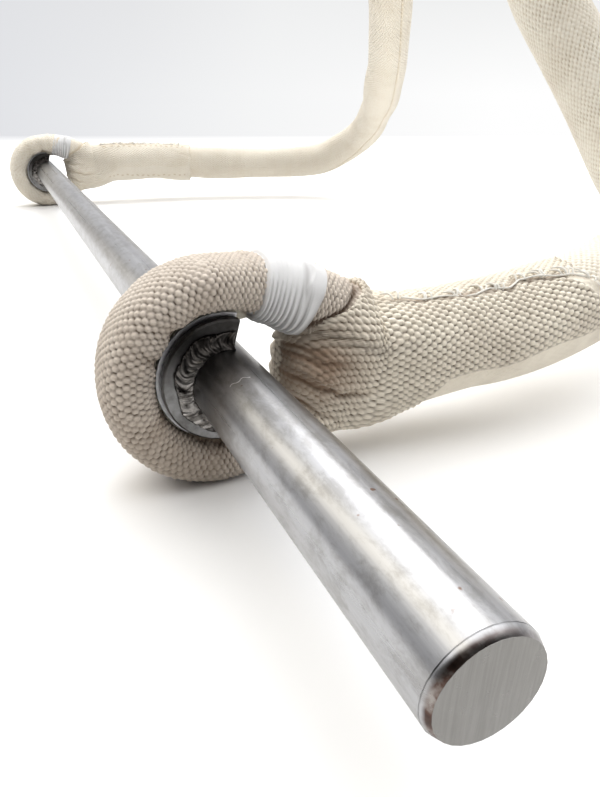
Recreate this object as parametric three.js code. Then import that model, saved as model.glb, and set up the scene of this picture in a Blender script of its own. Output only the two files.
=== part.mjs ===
import * as THREE from 'three';

// Trapeze bar: a plugged steel tube carried in the padded, spliced eyes of two covered ropes.
// Each eye turns on the bar between two welded, open discs; X runs along the bar and Y to the ropes.

// Bar tube and the plugs welded into its ends
const barLength = 1000;
const barRadius = 12.5;
const tubeWall = 3;
const plugDepth = 14;
const bevelLength = 2.2;
const bevelDepth = 1;
const seatGap = 0.3;
const roundSides = 32;

// Discs, weld beads and the grooved thimble that turns between the discs.
// All are open on the rope's side, between these two angles of their turn about the bar.
const openFrom = 285;
const openTo = 75;
const openSteps = 20;
const overhang = 150;
const discRadius = 22;
const discThickness = 4;
const discEdge = 0.6;
const weldLeg = 4.2;
const weldRipple = 0.5;
const weldRipples = 15;
const weldInset = 3;
const weldSteps = 28;
const turnClearance = 0.4;
const thimbleWidth = 17.4;
const flangeLip = 1.2;
const flangeThickness = 1.5;

// Rope core, and the padded sleeve that is wrapped round it in the eye
const coreRadius = 6.4;
const coreClearance = 1;
const coreRise = 0.7;
const padThickness = 9.2;
const sleeveWidth = 30;
const legRadius = 11.9;
const legEndRadius = 10.2;
const seamSlit = 1;
const lipThickness = 0.8;

// Laced cover over the splice, and the long padded sleeve beyond it
const coverRadius = 22;
const coverWall = 2.8;
const mouthEase = 1.9;
const socketGap = 0.6;
const coreEase = 0.9;
const coverLength = 166;
const throatLength = 54;
const lipStep = 24;
const spliceLength = 122;
const pleatDepth = 0.9;
const pleats = 7;
const ropeRadius = 19.1;

// Tape whipping on the upper leg of the eye
const tapeWidth = 1.6;
const tapeThickness = 1.2;
const tapePitch = 2.6;
const tapeTurns = 7.5;
const tapeStart = 1.82;

// Eye at the top end of each rope
const topBoreRadius = 13;
const topThimbleWidth = 15;
const topFlangeRadius = 22;
const topGrooveWall = 3;
const topLip = 0.7;
const topThroat = 46;
const topSides = 24;
const whippingLength = 16;
const whippingStart = 6;
const whippingThickness = 1.8;

const ropeSpacing = barLength - overhang * 2;

const quarter = Math.PI / 2;
const round = Math.PI * 2;
const unit = 1;

const thimbleBore = barRadius + turnClearance;
const flangeRadius = discRadius + flangeLip;
const grooveRadius = flangeRadius + coreRise;
const boreRadius = coreRadius + coreClearance;
const discSeat = thimbleWidth / 2 + turnClearance;
const lipGap = seatGap * 1.5;

// Routes of the two ropes from the eye: inboard of the rope's plane, out from the bar, above its axis
const nearRoute = [
  [0, 100, -3], [0, 120, -2], [2, 141, 0], [6, 164, 3], [13, 192, 8],
  [22, 219, 15], [34, 243, 24], [48, 258, 35], [62, 265, 47], [77, 267, 60],
  [94, 266, 77], [112, 263, 97], [129, 259, 118], [143, 254, 138], [153, 250, 157],
  [161, 247, 178], [166, 246, 202], [168, 246, 228], [168, 246, 255],
];
const farRoute = [
  [0, 100, 9], [1, 120, 8], [3, 142, 7], [6, 165, 6.5], [10, 192, 6],
  [17, 222, 5], [26, 255, 4], [38, 290, 3.5], [51, 325, 5], [65, 352, 10],
  [85, 371, 22], [114, 380, 37], [150, 376, 55], [190, 360, 74], [238, 338, 94],
  [280, 316, 113], [314, 296, 134], [338, 280, 155], [356, 267, 175], [370, 257, 198],
  [380, 251, 226], [382, 250, 255],
];

// Heart of the eye, as shares of the groove radius: out from the bar, then up
const upperLegShares = [[2.43, 0.30], [1.93, 0.64], [1.38, 0.85], [0.75, 0.96]];
const lowerLegShares = [[0.75, -0.96], [1.34, -0.88], [1.88, -0.81], [2.43, -0.75]];
const bendStart = 85;
const bendEnd = 275;
const bendSteps = 11;

// Middle line and inside height of the cover's mouth, as shares of the groove radius
const mouthShares = [[1.13, 0, 1.52], [1.51, -0.02, 1.44], [1.93, -0.1, 1.32], [2.43, -0.225, 1.11]];
const throatShares = [[2.85, -0.19], [3.4, -0.16]];
const lipCutShares = [[1.13, 0.16], [2.5, 0.98]];

const steel = { color: 0x9c9ea0, roughness: 0.38, metalness: 0.9 };
const darkSteel = { color: 0x55575a, roughness: 0.5, metalness: 0.85 };
const weldSteel = { color: 0x6b6560, roughness: 0.45, metalness: 0.8 };
const cotton = { color: 0xd9cdb8, roughness: 0.95, metalness: 0 };
const cream = { color: 0xe3d8c3, roughness: 0.95, metalness: 0 };
const tapeWhite = { color: 0xeeeceb, roughness: 0.85, metalness: 0 };
const ropeWhite = { color: 0xcfc6b3, roughness: 0.95, metalness: 0 };

const model = new THREE.Group();

function piece(name, geometry, look) {
  const mesh = new THREE.Mesh(geometry, new THREE.MeshStandardMaterial(look));
  mesh.name = name;
  model.add(mesh);
  return mesh;
}

// Solid turned about the X axis from a closed profile of [along, radius]
function turned(profile, sides) {
  const points = [...profile, profile[0]].map(([along, radius]) => new THREE.Vector2(radius, along));
  const geometry = new THREE.LatheGeometry(points, sides);
  geometry.rotateZ(-quarter);
  return geometry;
}

// Skin through rings of equal count; a looped skin runs back to its first ring, an open one is capped
function skinned(rings, looped, capTriangles) {
  const count = rings[0].length;
  const triangles = [];
  const last = looped ? rings.length : rings.length - 1;
  for (let k = 0; k < last; k += 1) {
    const here = k * count;
    const next = ((k + 1) % rings.length) * count;
    for (let j = 0; j < count; j += 1) {
      const right = (j + 1) % count;
      triangles.push(here + j, here + right, next + right);
      triangles.push(here + j, next + right, next + j);
    }
  }
  if (!looped) {
    const end = (rings.length - 1) * count;
    for (const [a, b, c] of capTriangles) {
      triangles.push(c, b, a);
      triangles.push(end + a, end + b, end + c);
    }
  }
  const geometry = new THREE.BufferGeometry();
  const places = new Float32Array(rings.flat().flatMap((p) => [p.x, p.y, p.z]));
  geometry.setAttribute('position', new THREE.BufferAttribute(places, 3));
  geometry.setIndex(triangles);
  geometry.computeVertexNormals();
  return geometry;
}

// Ring about the X axis, open on the rope's side, from an outline of [along, radius] at each angle
function openRing(outlineAt, capTriangles, steps, inset) {
  const rings = [];
  for (let k = 0; k <= steps; k += 1) {
    const share = k / steps;
    const angle = THREE.MathUtils.degToRad(openFrom - inset + (openTo - openFrom + inset * 2) * share);
    rings.push(outlineAt(angle).map(([along, radius]) => new THREE.Vector3(
      along, radius * Math.cos(angle), radius * Math.sin(angle),
    )));
  }
  return skinned(rings, false, capTriangles);
}

// Round tube along a curve
function tube(curve, radius, sides, steps) {
  const corners = [];
  for (let k = 0; k < sides; k += 1) {
    const angle = (k / sides) * round;
    corners.push(new THREE.Vector2(radius * Math.cos(angle), radius * Math.sin(angle)));
  }
  const options = { steps, bevelEnabled: false, extrudePath: curve };
  return new THREE.ExtrudeGeometry(new THREE.Shape(corners), options);
}

function blend(rows, at, column) {
  let k = 0;
  while (k < rows.length - 2 && rows[k + 1][0] < at) {
    k += 1;
  }
  const [low, high] = [rows[k], rows[k + 1]];
  const share = Math.min(Math.max((at - low[0]) / (high[0] - low[0]), 0), 1);
  return low[column] + share * (high[column] - low[column]);
}

// Point of a rounded square outline, share of the way round it from its foot
function superPoint(angle, half, high, low, power) {
  const [c, s] = [Math.cos(angle), Math.sin(angle)];
  const across = half * Math.sign(c) * Math.abs(c) ** (2 / power);
  const middle = (high + low) / 2;
  const up = middle + ((high - low) / 2) * Math.sign(s) * Math.abs(s) ** (2 / power);
  return [across, up];
}

// Bar tube and end plugs
const halfBar = barLength / 2;
const tubeEnd = halfBar - bevelLength - seatGap;
const tubeBore = barRadius - tubeWall;
const spigotRadius = tubeBore - seatGap;
const faceRadius = barRadius - bevelDepth;
const shoulder = halfBar - bevelLength;
piece('bar_tube', turned([
  [-tubeEnd, tubeBore], [-tubeEnd, barRadius], [tubeEnd, barRadius], [tubeEnd, tubeBore],
], roundSides), steel);
for (const [name, side] of [['near_end_plug', 1], ['far_end_plug', -1]]) {
  const outline = [
    [shoulder - plugDepth, 0], [shoulder - plugDepth, spigotRadius], [shoulder, spigotRadius],
    [shoulder, barRadius], [halfBar, faceRadius], [halfBar, 0],
  ];
  const plug = new THREE.LatheGeometry(outline.map(([along, r]) => new THREE.Vector2(r, along)), roundSides);
  plug.rotateZ(-quarter * side);
  piece(name, plug, steel);
}

// Disc and weld bead, facing away from the rope's plane
function disc(name, plane, facing) {
  const inner = barRadius + seatGap;
  const face = discSeat + discThickness;
  const plate = [
    [discSeat, inner], [discSeat, discRadius - discEdge], [discSeat + discEdge, discRadius],
    [face - discEdge, discRadius], [face, discRadius - discEdge], [face, inner],
  ];
  const ring = openRing(() => plate, [[0, 1, 2], [0, 2, 3], [0, 3, 4], [0, 4, 5]], openSteps, 0);
  const foot = face + seatGap;
  const beadAt = (angle) => {
    const swell = weldRipple * Math.cos(angle * weldRipples) + weldRipple * Math.sin(angle * 3) / 2;
    const leg = weldLeg + swell;
    const crown = leg * 0.42 + swell / 2;
    return [[foot, inner], [foot, inner + leg], [foot + crown, inner + crown], [foot + leg, inner]];
  };
  const bead = openRing(beadAt, [[0, 1, 2], [0, 2, 3]], weldSteps, weldInset);
  for (const geometry of [ring, bead]) {
    if (facing < 0) {
      geometry.rotateY(Math.PI);
    }
    geometry.translate(plane, 0, 0);
  }
  piece(`${name}_disc`, ring, darkSteel);
  piece(`${name}_weld`, bead, weldSteel);
}

// Outline of a grooved ring: bore, flanges, groove of the given heart and section radius
const grooveArcs = 4;
function grooved(bore, heart, section, flange, width, lip) {
  const half = width / 2;
  const inside = half - lip;
  const floor = [];
  const reach = Math.min(inside, section);
  const opening = Math.acos(Math.min((heart - flange) / section, 1));
  for (let k = 0; k <= grooveArcs; k += 1) {
    const angle = opening * (1 - (2 * k) / grooveArcs);
    floor.push([reach * Math.sin(angle) / Math.sin(opening), heart - section * Math.cos(angle)]);
  }
  return [[half, bore], [-half, bore], [-half, flange], ...floor.reverse(), [half, flange]];
}

function ropeSide(name, side, routeRows, tilt) {
  const plane = (side * ropeSpacing) / 2;
  const turnedPoint = (out, up) => new THREE.Vector3(
    plane,
    out * Math.cos(tilt) - up * Math.sin(tilt),
    out * Math.sin(tilt) + up * Math.cos(tilt),
  );
  const route = routeRows.map(([drift, out, up]) => new THREE.Vector3(plane - side * drift, out, up));

  disc(`${name}_outer`, plane, side);
  disc(`${name}_inner`, plane, -side);
  const channel = grooved(
    thimbleBore, grooveRadius, coreRadius + lipGap, flangeRadius, thimbleWidth, flangeThickness,
  );
  const deepest = 3 + grooveArcs / 2;
  const channelCaps = [[0, 1, deepest]];
  for (let k = 2; k < channel.length - 1; k += 1) {
    channelCaps.push([k < deepest ? 1 : 0, k, k + 1]);
  }
  const thimble = openRing(() => channel, channelCaps, openSteps, 0);
  thimble.rotateX(tilt);
  thimble.translate(plane, 0, 0);
  piece(`${name}_thimble`, thimble, darkSteel);

  // Middle line of cover and rope
  const mouth = mouthShares.map(([out, up]) => turnedPoint(out * grooveRadius, up * grooveRadius));
  const throat = throatShares.map(([out, up]) => turnedPoint(out * grooveRadius, up * grooveRadius));
  const middle = new THREE.CatmullRomCurve3([...mouth, ...throat, ...route], false, 'centripetal');
  middle.arcLengthDivisions = 600;
  const middleLength = middle.getLength();
  const up = new THREE.Vector3(0, 0, unit);
  const frameAt = (station) => {
    const share = station / middleLength;
    const at = middle.getPointAt(share);
    const along = middle.getTangentAt(share);
    const across = new THREE.Vector3().crossVectors(along, up).normalize();
    const over = new THREE.Vector3().crossVectors(across, along);
    return { at, along, across, over };
  };
  const mouthStations = [0];
  for (let k = 1; k < mouth.length; k += 1) {
    mouthStations.push(mouthStations[k - 1] + mouth[k].distanceTo(mouth[k - 1]));
  }
  const mouthEnd = mouthStations[mouth.length - 1];

  // Core: both parts of the splice, the legs of the eye and the bend round the thimble
  const endSpread = ((upperLegShares[0][1] - lowerLegShares[3][1]) / 2) * grooveRadius;
  const spliceSpread = coreRadius + seatGap;
  const spread = (station) => {
    const share = Math.min(Math.max((station - mouthEnd) / (throatLength - mouthEnd), 0), 1);
    const eased = share * share * (3 - 2 * share);
    return endSpread + eased * (spliceSpread - endSpread);
  };
  const spliceStations = [spliceLength];
  while (spliceStations[0] > mouthEnd + coreRadius * 2) {
    spliceStations.unshift(spliceStations[0] - coreRadius * 2);
  }
  const partOf = (station, sign) => {
    const { at, over } = frameAt(station);
    return at.clone().addScaledVector(over, sign * spread(station));
  };
  const bend = [];
  for (let k = 0; k <= bendSteps; k += 1) {
    const angle = THREE.MathUtils.degToRad(bendStart + ((bendEnd - bendStart) * k) / bendSteps);
    bend.push(turnedPoint(grooveRadius * Math.cos(angle), grooveRadius * Math.sin(angle)));
  }
  const legPoint = ([out, over]) => turnedPoint(out * grooveRadius, over * grooveRadius);
  const heart = [
    ...spliceStations.map((station) => partOf(station, 1)).reverse(),
    ...upperLegShares.map(legPoint),
    ...bend,
    ...lowerLegShares.map(legPoint),
    ...spliceStations.map((station) => partOf(station, -1)),
  ];
  const heartCurve = new THREE.CatmullRomCurve3(heart, false, 'centripetal');
  heartCurve.arcLengthDivisions = 400;
  piece(`${name}_core`, tube(heartCurve, coreRadius, 8, 52), ropeWhite);

  // Padded sleeve of the eye: half width, outside, inside and half slit at each heart point
  const first = spliceStations.length;
  const lips = flangeRadius + lipGap - grooveRadius;
  const outside = boreRadius + padThickness;
  const halfSleeve = sleeveWidth / 2;
  const swollen = (legRadius + halfSleeve) / 2;
  const sections = [
    [0, legEndRadius, legEndRadius, -legEndRadius, seamSlit / 2, 2],
    [1, legRadius, legRadius, -legRadius, seamSlit / 2, 2],
    [2, legRadius, (legRadius + outside) / 2, -legRadius, seamSlit / 2, 2],
    [3, swollen, outside, (lips - legRadius) / 2, (seamSlit / 2 + boreRadius) / 2, 2.3],
    [4, halfSleeve, outside, lips, boreRadius, 2.6],
    [4 + bendSteps, halfSleeve, outside, lips, boreRadius, 2.6],
    [5 + bendSteps, swollen, (legRadius + outside) / 2, -boreRadius - lipGap, boreRadius / 2, 2.2],
    [6 + bendSteps, legRadius, legRadius, -legRadius, seamSlit / 2, 2],
    [7 + bendSteps, legRadius, legRadius, -legRadius, seamSlit / 2, 2],
    [8 + bendSteps, legEndRadius, legEndRadius, -legEndRadius, seamSlit / 2, 2],
  ];
  const legEnd = 8 + bendSteps;
  const heartFrame = (index) => {
    const share = (first + index) / (heart.length - 1);
    const at = heartCurve.getPoint(share);
    const along = heartCurve.getTangent(share);
    const axis = new THREE.Vector3(unit, 0, 0);
    return { at, axis, outward: new THREE.Vector3().crossVectors(along, axis).normalize() };
  };
  const outerCorners = 13;
  const boreCorners = 9;
  const clearOfThimble = (index, wanted) => {
    const { at, outward } = heartFrame(index);
    const foot = new THREE.Vector3(plane, 0, 0);
    let low = wanted;
    while (at.clone().addScaledVector(outward, low).distanceTo(foot) < flangeRadius + lipGap) {
      low += seatGap / 4;
    }
    return low;
  };
  const sleeveOutline = (index) => {
    const [half, high, wanted, wantedSlit] = [1, 2, 3, 4].map((column) => blend(sections, index, column));
    const low = clearOfThimble(index, wanted);
    const power = blend(sections, index, 5);
    const deep = Math.min(Math.max(-low - lipThickness, 0), boreRadius);
    const slit = Math.max(wantedSlit, Math.sqrt(boreRadius ** 2 - deep ** 2));
    const lip = Math.asin(Math.min((slit / half) ** (power / 2), 1));
    const outline = [];
    for (let k = 0; k <= outerCorners; k += 1) {
      const angle = -quarter + lip + ((round - 2 * lip) * k) / outerCorners;
      outline.push(superPoint(angle, half, high, low, power));
    }
    const slitAngle = Math.asin(Math.min(slit / boreRadius, 1));
    for (let k = boreCorners; k >= 0; k -= 1) {
      const angle = -quarter + slitAngle + ((round - 2 * slitAngle) * k) / boreCorners;
      outline.push([boreRadius * Math.cos(angle), boreRadius * Math.sin(angle)]);
    }
    return outline;
  };
  const sleeveStations = [];
  for (let station = 0; station <= legEnd; station += 1) {
    sleeveStations.push(station);
    if ((station > 0 && station < 4) || (station > 3 + bendSteps && station < legEnd - 1)) {
      sleeveStations.push(station + 0.5);
    }
  }
  const sleeveRings = sleeveStations.map((index) => {
    const { at, axis, outward } = heartFrame(index);
    return sleeveOutline(index).map(([across, over]) => (
      at.clone().addScaledVector(axis, across).addScaledVector(outward, over)
    ));
  });
  const flat = sleeveOutline(0).map(([across, over]) => new THREE.Vector2(across, over));
  const sleeveCaps = THREE.ShapeUtils.triangulateShape(flat, []);
  piece(`${name}_eye_sleeve`, skinned(sleeveRings, false, sleeveCaps), cotton);

  // Tape wound round the upper leg in one unbroken strip
  const tapeSteps = 24;
  const tapeRings = [];
  let index = tapeStart;
  for (let k = 0; k <= tapeTurns * tapeSteps; k += 1) {
    const turns = k / tapeSteps;
    const { at, axis, outward } = heartFrame(index);
    const ahead = heartFrame(index + unit / tapeSteps).at.distanceTo(at) * tapeSteps;
    const [half, high, wanted] = [1, 2, 3].map((column) => blend(sections, index, column));
    const low = Math.min(wanted, -coreRadius - lipGap);
    const lift = seatGap + tapeThickness / 2;
    const angle = turns * round;
    const power = blend(sections, index, 5);
    const [across, over] = superPoint(angle, half + lift, high + lift, low - lift, power);
    const centre = (high + low) / 2;
    const spoke = axis.clone().multiplyScalar(across).addScaledVector(outward, over - centre).normalize();
    const place = at.clone().addScaledVector(axis, across).addScaledVector(outward, over);
    const lengthwise = new THREE.Vector3().crossVectors(outward, axis);
    const ring = [];
    for (let j = 0; j < 6; j += 1) {
      const corner = (j / 6) * round;
      ring.push(place.clone()
        .addScaledVector(lengthwise, (-tapeWidth / 2) * Math.cos(corner))
        .addScaledVector(spoke, (tapeThickness / 2) * Math.sin(corner)));
    }
    tapeRings.push(ring);
    index += tapePitch / tapeSteps / ahead;
  }
  const tapeCaps = [[0, 1, 2], [0, 2, 3], [0, 3, 4], [0, 4, 5]];
  piece(`${name}_eye_tape`, skinned(tapeRings, false, tapeCaps), tapeWhite);
  let least = Infinity;
  for (let k = 0; k + tapeSteps < tapeRings.length; k += 1) {
    for (const near of tapeRings[k]) {
      for (const next of tapeRings[k + tapeSteps]) {
        least = Math.min(least, near.distanceTo(next));
      }
    }
  }
  console.log(`${name} tape: least gap between turns ${least.toFixed(2)} mm`);

  // Laced cover: inside clear of the legs and the splice, lip cut on a slant
  const cavity = mouthStations.map((station, k) => [station, mouthShares[k][2] * grooveRadius]);
  const mouthFloor = mouthEnd + lipGap;
  const mouthWide = legRadius + mouthEase + coverWall;
  const outsideRows = [
    ...cavity.map(([station, high]) => [station, high + coverWall, mouthWide]),
    [(mouthEnd + throatLength) / 2, (cavity[3][1] + coverWall + coverRadius) / 2, coverRadius],
    [throatLength, coverRadius, coverRadius],
    [coverLength - coverWall, coverRadius, coverRadius],
    [coverLength, coverRadius - coverWall / 3, coverRadius - coverWall / 3],
  ];
  const coverPoint = (station, angle, high, wide) => {
    const { at, across, over } = frameAt(station);
    const rise = wide * Math.cos(angle) + (high - wide) * Math.sign(Math.cos(angle));
    return at.clone().addScaledVector(over, rise).addScaledVector(across, wide * Math.sin(angle));
  };
  const outsidePoint = (station, angle) => {
    const fold = pleatDepth * Math.max(0, 1 - station / coverLength * 2) * Math.cos(angle * pleats);
    const high = blend(outsideRows, station, 1) + fold;
    return coverPoint(station, angle, high, blend(outsideRows, station, 2) + fold);
  };
  const insidePoint = (station, angle) => {
    const narrow = Math.min(Math.max((station - mouthFloor) / coreRadius, 0), 1);
    const mouthHigh = blend(cavity, station, 1);
    const high = mouthHigh + narrow * (spread(station) + coreRadius + coreEase - mouthHigh);
    const wide = mouthWide - coverWall + narrow * (coreRadius + coreEase - mouthWide + coverWall);
    return coverPoint(station, angle, high, wide);
  };
  const socketRadius = ropeRadius + socketGap;
  const socketPoint = (station, angle) => coverPoint(station, angle, socketRadius, socketRadius);
  const [lipLow, lipHigh] = lipCutShares.map(([out, over]) => [out * grooveRadius, over * grooveRadius]);
  const lipSlope = (lipHigh[1] - lipLow[1]) / (lipHigh[0] - lipLow[0]);
  const aboveLip = (point) => {
    const out = point.y * Math.cos(tilt) + point.z * Math.sin(tilt);
    const over = point.z * Math.cos(tilt) - point.y * Math.sin(tilt);
    return over - (lipLow[1] + lipSlope * (out - lipLow[0]));
  };
  const lipStation = (angle) => {
    let [low, high] = [0, mouthEnd];
    if (aboveLip(outsidePoint(low, angle)) < 0) {
      return low;
    }
    for (let k = 0; k < 30; k += 1) {
      const half = (low + high) / 2;
      if (aboveLip(outsidePoint(half, angle)) > 0) {
        low = half;
      } else {
        high = half;
      }
    }
    return low;
  };
  const coverSides = 24;
  const angles = Array.from({ length: coverSides }, (_, k) => ((k + 0.5) / coverSides) * round);
  const roundMouth = mouthEnd + coreRadius * 2;
  const lipShares = [0, 0.25, 0.5, 0.75, 1];
  const mouthRing = (share, end, point) => angles.map((angle) => {
    const lip = lipStation(angle);
    return point(lip + share * (end - lip), angle);
  });
  const ringAt = (station, point) => angles.map((angle) => point(station, angle));
  const outStations = [throatLength];
  while (outStations[outStations.length - 1] + lipStep < coverLength - coverWall) {
    outStations.push(outStations[outStations.length - 1] + lipStep);
  }
  outStations.push(coverLength - coverWall, coverLength);
  const coverRings = [
    ...lipShares.map((share) => mouthRing(share, roundMouth, outsidePoint)),
    ...outStations.map((station) => ringAt(station, outsidePoint)),
    ringAt(coverLength, socketPoint),
    ringAt((coverLength * 2 + spliceLength) / 3, socketPoint),
    ringAt((coverLength + spliceLength * 2) / 3, socketPoint),
    ringAt(spliceLength + lipGap / 2, socketPoint),
    ringAt(spliceLength, insidePoint),
    ringAt((spliceLength + throatLength) / 2, insidePoint),
    ringAt(throatLength, insidePoint),
    ringAt(mouthFloor + coreRadius, insidePoint),
    ...lipShares.map((share) => mouthRing(share, mouthFloor, insidePoint)).reverse(),
  ];
  piece(`${name}_cover`, skinned(coverRings, true), cotton);

  // Long sleeve over the standing rope
  const ropeStart = (spliceLength + socketGap * 1.5) / middleLength;
  const ropePoints = [];
  const ropeSteps = Math.round((middleLength - spliceLength) / ropeRadius);
  for (let k = 0; k <= ropeSteps * 3; k += 1) {
    ropePoints.push(middle.getPointAt(ropeStart + ((1 - ropeStart) * k) / (ropeSteps * 3)));
  }
  const ropeCurve = new THREE.CatmullRomCurve3(ropePoints, false, 'centripetal');
  piece(`${name}_rope`, tube(ropeCurve, ropeRadius, 12, ropeSteps), cream);

  // Eye at the top of the rope, in the same plane as the eye on the bar
  const top = route[route.length - 1];
  const topHeart = topBoreRadius + topGrooveWall + coreRadius + lipGap;
  const topPoint = (above, out) => new THREE.Vector3(top.x, top.y + out, top.z + above);
  const legsApart = coreRadius + seatGap;
  const centre = topThroat + topHeart;
  const fan = quarter * 2 / 3;
  const startOut = topHeart * Math.sin(fan);
  const startUp = centre - topHeart * Math.cos(fan);
  const legRun = (startOut - legsApart) / Math.tan(quarter - fan);
  const topSide = [
    topPoint(seatGap * 2, legsApart),
    topPoint((startUp - legRun) / 2, legsApart),
    topPoint(startUp - legRun, legsApart * 1.08),
    topPoint(startUp - legRun / 2, (legsApart + startOut) / 2),
  ];
  const topBend = [];
  const topSteps = 12;
  for (let k = 0; k <= topSteps; k += 1) {
    const angle = fan + ((round - 2 * fan) * k) / topSteps;
    topBend.push(topPoint(centre - topHeart * Math.cos(angle), topHeart * Math.sin(angle)));
  }
  const mirrored = topSide.map((p) => new THREE.Vector3(p.x, top.y * 2 - p.y, p.z)).reverse();
  const topCurve = new THREE.CatmullRomCurve3([...topSide, ...topBend, ...mirrored], false, 'centripetal');
  piece(`${name}_top_eye`, tube(topCurve, coreRadius, 8, 34), ropeWhite);
  const topThimble = turned(grooved(
    topBoreRadius, topHeart, coreRadius + lipGap, topFlangeRadius, topThimbleWidth, topLip,
  ), topSides);
  topThimble.translate(top.x, top.y, top.z + centre);
  piece(`${name}_top_thimble`, topThimble, steel);

  // Whipping round both legs below the top thimble
  const whippingSides = 20;
  const slot = (grow) => Array.from({ length: whippingSides }, (_, k) => {
    const angle = (k / whippingSides) * round;
    const reach = coreRadius + lipGap + grow;
    const apart = (legsApart + seatGap) * Math.sign(Math.sin(angle));
    return [reach * Math.cos(angle), apart + reach * Math.sin(angle)];
  });
  const band = (grow, above) => slot(grow).map(([across, out]) => (
    new THREE.Vector3(top.x + across, top.y + out, top.z + above)
  ));
  const whippingTop = whippingStart + whippingLength;
  const whippingRings = [
    band(whippingThickness, whippingStart), band(whippingThickness, whippingTop),
    band(0, whippingTop), band(0, whippingStart),
  ];
  piece(`${name}_top_whipping`, skinned(whippingRings, true), tapeWhite);
}

ropeSide('near', 1, nearRoute, 0);
ropeSide('far', -1, farRoute, THREE.MathUtils.degToRad(9));

// Origin under the middle of the bar and its two eyes, on the surface that they lie on
const free = ['_rope', '_top_eye', '_top_thimble', '_top_whipping'];
const standing = new THREE.Box3();
for (const mesh of model.children) {
  if (!free.some((ending) => mesh.name.endsWith(ending))) {
    standing.expandByObject(mesh, true);
  }
}
const middlePoint = standing.getCenter(new THREE.Vector3());
for (const mesh of model.children) {
  mesh.position.set(-middlePoint.x, -middlePoint.y, -standing.min.z);
}

export default model;
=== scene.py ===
import math

import bpy
import numpy as np
from mathutils import Matrix, Vector


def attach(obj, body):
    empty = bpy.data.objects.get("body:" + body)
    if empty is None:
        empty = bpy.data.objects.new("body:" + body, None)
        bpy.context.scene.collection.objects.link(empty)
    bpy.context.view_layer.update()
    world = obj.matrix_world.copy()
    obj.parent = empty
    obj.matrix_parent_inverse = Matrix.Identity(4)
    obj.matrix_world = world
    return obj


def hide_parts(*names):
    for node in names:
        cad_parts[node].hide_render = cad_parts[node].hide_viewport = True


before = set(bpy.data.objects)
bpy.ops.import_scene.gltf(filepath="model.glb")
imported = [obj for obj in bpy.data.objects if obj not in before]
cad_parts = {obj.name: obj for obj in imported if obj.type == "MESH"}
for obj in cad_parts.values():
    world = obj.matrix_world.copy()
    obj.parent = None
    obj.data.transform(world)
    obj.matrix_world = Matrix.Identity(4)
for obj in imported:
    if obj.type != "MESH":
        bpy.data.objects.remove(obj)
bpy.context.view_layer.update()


# Camera: a phone held low beside the near end of the bar and looking along it to the far end.
# Its lens sees 797 pixels of height at a focal length of 650 pixels, 30 pixels off its centre.
IMAGE_HEIGHT, FOCAL_PIXELS, CENTRE_PIXELS = 797, 650, 30
SENSOR_MM = 24

camera_data = bpy.data.cameras.new("camera")
camera_data.sensor_fit = "VERTICAL"
camera_data.sensor_height = SENSOR_MM
camera_data.lens = SENSOR_MM * FOCAL_PIXELS / IMAGE_HEIGHT
camera_data.shift_x = CENTRE_PIXELS / IMAGE_HEIGHT
camera_data.clip_start = .005
camera_data.clip_end = 60
camera = bpy.data.objects.new("camera", camera_data)
bpy.context.collection.objects.link(camera)
right = Vector((.3742, .9274, 0)).normalized()
forward = Vector((-.8396, .3388, -.4247)).normalized()
camera_axes = Matrix((right, right.cross(forward), -forward)).transposed().to_4x4()
camera.matrix_world = Matrix.Translation((.5568, -.14052, .12909)) @ camera_axes
bpy.context.scene.camera = camera


# Ropes: two hanging ropes, each sewn into a thick tube of cream cotton canvas stuffed with wadding.
# Each leaves its laced cover at the bar and is held from above, outside the view.
BAR_Y, BAR_Z = -.07852, .04029
ROPE_PLANE = .35
GROOVE = .0239
FLOOR_GAP = .0002
SLEEVE_RADIUS, OVER_NUBS, SLEEVE_START = .0187, .0192, .124
STITCH = .0042
NUB_LENGTH, NUB_ROW = .0042, .00135
NUB_HALF_LENGTH, NUB_HALF_WIDTH, NUB_BLUNTNESS = .365, .97, .62
NEAR_TILT, FAR_TILT = 0.0, math.radians(9)
TURN = 2 * math.pi
NEAR_ROUTE = [        # inwards along the bar, out from the bar's axis and over it
    (0, .100, -.003), (0, .120, -.002), (.002, .141, 0), (.006, .164, .003), (.013, .192, .008),
    (.022, .219, .015), (.034, .243, .024), (.048, .258, .035), (.062, .265, .047),
    (.077, .267, .060), (.094, .266, .077), (.112, .263, .097), (.129, .259, .118),
    (.143, .254, .138), (.153, .250, .157), (.161, .247, .178), (.166, .246, .202),
    (.168, .246, .228), (.168, .246, .255),
]
FAR_ROUTE = [
    (0, .100, .009), (.001, .120, .008), (.003, .142, .007), (.006, .165, .0065),
    (.010, .192, .006), (.017, .222, .005), (.026, .255, .004), (.038, .290, .0035),
    (.051, .325, .005), (.065, .352, .010), (.085, .371, .022), (.114, .380, .037),
    (.150, .376, .055), (.190, .360, .074), (.238, .338, .094), (.280, .316, .113),
    (.314, .296, .134), (.338, .280, .155), (.356, .267, .175), (.370, .257, .198),
    (.380, .251, .226), (.382, .250, .255),
]
MOUTH_SHARES = [(1.13, 0), (1.51, -.02), (1.93, -.1), (2.43, -.225), (2.85, -.19), (3.4, -.16)]
NEAR_SEAM = ((0, 126), (1, 126))
FAR_SEAM = ((.17, 172), (.33, 168), (.38, 142), (.42, 138), (.475, 160), (.55, 170), (.66, 178))


def clamp(value):
    return np.clip(value, 0, 1)


def bell(value, width, power=2):
    """Smooth bump: 1 at zero, 1/e at the width."""
    return np.exp(-(value / width) ** power)


def table(where, rows):
    """Value at each place of a table of (place, value) rows, straight between them."""
    return np.interp(where, *np.array(rows, float).T)


def full_turn(count):
    """Even angles once round, as one row."""
    return np.linspace(0, TURN, count, endpoint=False)[None, :]


def arc_length(points):
    """Distance of each point along its line."""
    return np.r_[0, np.cumsum(np.linalg.norm(np.diff(points, axis=0), axis=1))]


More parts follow.
